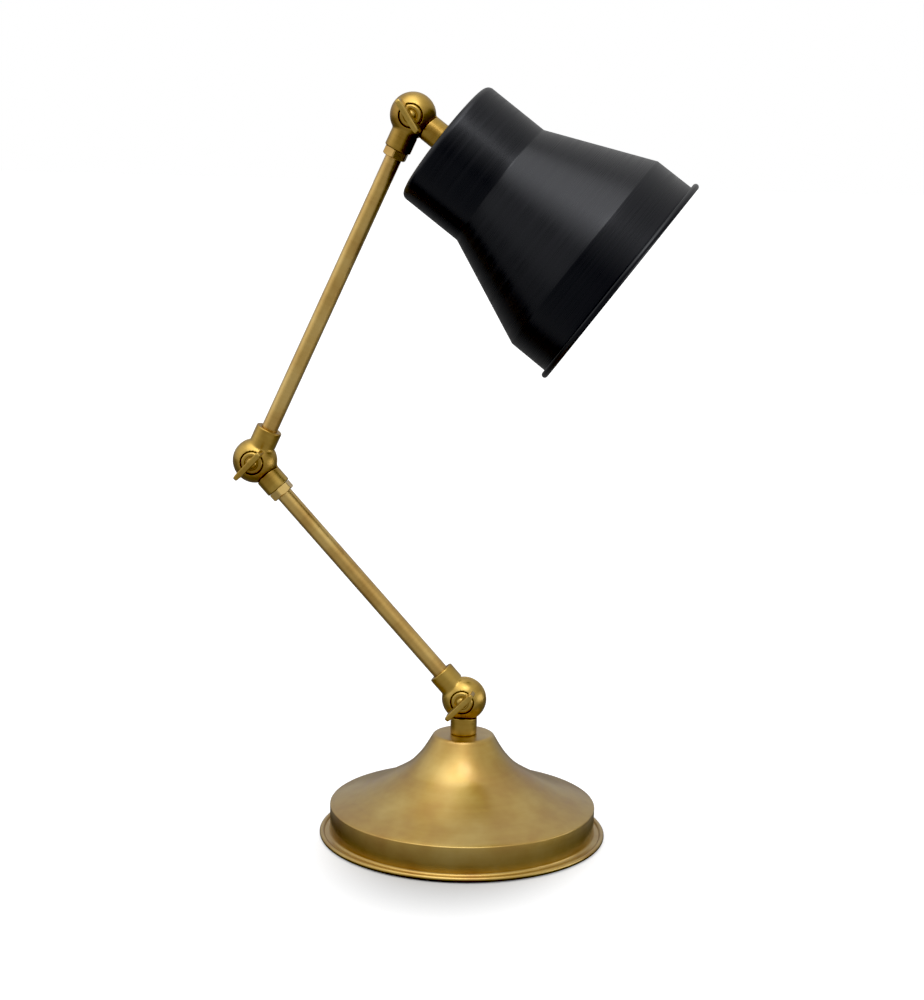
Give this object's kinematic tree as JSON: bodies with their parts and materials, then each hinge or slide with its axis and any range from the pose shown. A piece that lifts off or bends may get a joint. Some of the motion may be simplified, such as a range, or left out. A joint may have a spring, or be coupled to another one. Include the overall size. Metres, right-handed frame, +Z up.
{
  "type": "swing arm desk lamp",
  "caption": "Swing arm desk lamp with a round weighted base, two tube arms on friction knuckles and a flared metal shade.",
  "frame": {"origin": "centre of the foot's underside, on the table", "axes": "+Z up, +X towards the shade in the plane of the arms, every pivot along Y, thumb screws on the -Y side"},
  "size_m": [0.2771, 0.176, 0.4568],
  "materials": {
    "aged_brass": "satin, antique brass plate under lacquer",
    "black_enamel": "satin black stoving enamel on spun steel",
    "cast_iron": "as cast, dull",
    "zinc_steel": "zinc plated, dull",
    "felt": "wool felt",
    "bush_rubber": "moulded rubber",
    "fibre": "vulcanised fibre",
    "terminal_nylon": "moulded nylon",
    "lead_insulation": "PVC insulation",
    "phenolic": "moulded phenolic",
    "steatite": "steatite ceramic",
    "plated_brass": "nickel-plated brass strip"
  },
  "bodies": {
    "base": {"base_shell": "aged_brass", "base_weight": "cast_iron", "base_cover": "zinc_steel", "felt_pad": "felt", "cover_screws": "zinc_steel", "base_nipple": "zinc_steel", "base_washer": "zinc_steel", "base_nut": "zinc_steel", "inlet_bush": "bush_rubber", "terminal_block": "terminal_nylon", "terminal_screws": "zinc_steel", "base_lead": "lead_insulation", "base_knuckle_far": "aged_brass", "base_friction_washer": "fibre"},
    "lower_arm": {"base_knuckle_near": "aged_brass", "base_wave_washer": "zinc_steel", "lower_arm_tube": "aged_brass", "lower_arm_lock_nut": "aged_brass", "lower_arm_lead": "lead_insulation", "elbow_knuckle_far": "aged_brass", "elbow_friction_washer": "fibre"},
    "upper_arm": {"elbow_knuckle_near": "aged_brass", "elbow_wave_washer": "zinc_steel", "upper_arm_tube": "aged_brass", "upper_arm_lock_nut": "aged_brass", "upper_arm_lead": "lead_insulation", "head_knuckle_near": "aged_brass", "head_wave_washer": "zinc_steel"},
    "head": {"head_knuckle_far": "aged_brass", "head_friction_washer": "fibre", "shade_shell": "black_enamel", "shade_nipple": "zinc_steel", "shade_washer": "zinc_steel", "shade_nut": "zinc_steel", "holder_cap": "phenolic", "holder_body": "phenolic", "holder_insulator": "steatite", "holder_screw_shell": "plated_brass", "holder_contact": "plated_brass", "head_lead": "lead_insulation"},
    "base_thumb": {"base_thumb_screw": "aged_brass"},
    "elbow_thumb": {"elbow_thumb_screw": "aged_brass"},
    "head_thumb": {"head_thumb_screw": "aged_brass"}
  },
  "joints": [
    {"name": "base_pivot", "type": "hinge", "parent": "base", "child": "lower_arm", "pos_m": [0, 0, 0.087], "axis": [0, 1, 0], "range_deg": [-35, 45]},
    {"name": "elbow_pivot", "type": "hinge", "parent": "lower_arm", "child": "upper_arm", "pos_m": [-0.13131, 0, 0.2298], "axis": [0, 1, 0], "range_deg": [-65, 40]},
    {"name": "head_pivot", "type": "hinge", "parent": "upper_arm", "child": "head", "pos_m": [-0.03646, 0, 0.43988], "axis": [0, 1, 0], "range_deg": [-100, 4]},
    {"name": "base_thumb_turn", "type": "hinge", "parent": "base", "child": "base_thumb", "pos_m": [0, 0, 0.087], "axis": [0, -1, 0], "range_deg": [0, 180]},
    {"name": "elbow_thumb_turn", "type": "hinge", "parent": "lower_arm", "child": "elbow_thumb", "pos_m": [-0.13131, 0, 0.2298], "axis": [0, -1, 0], "range_deg": [0, 180]},
    {"name": "head_thumb_turn", "type": "hinge", "parent": "head", "child": "head_thumb", "pos_m": [-0.03646, 0, 0.43988], "axis": [0, -1, 0], "range_deg": [0, 180]}
  ]
}
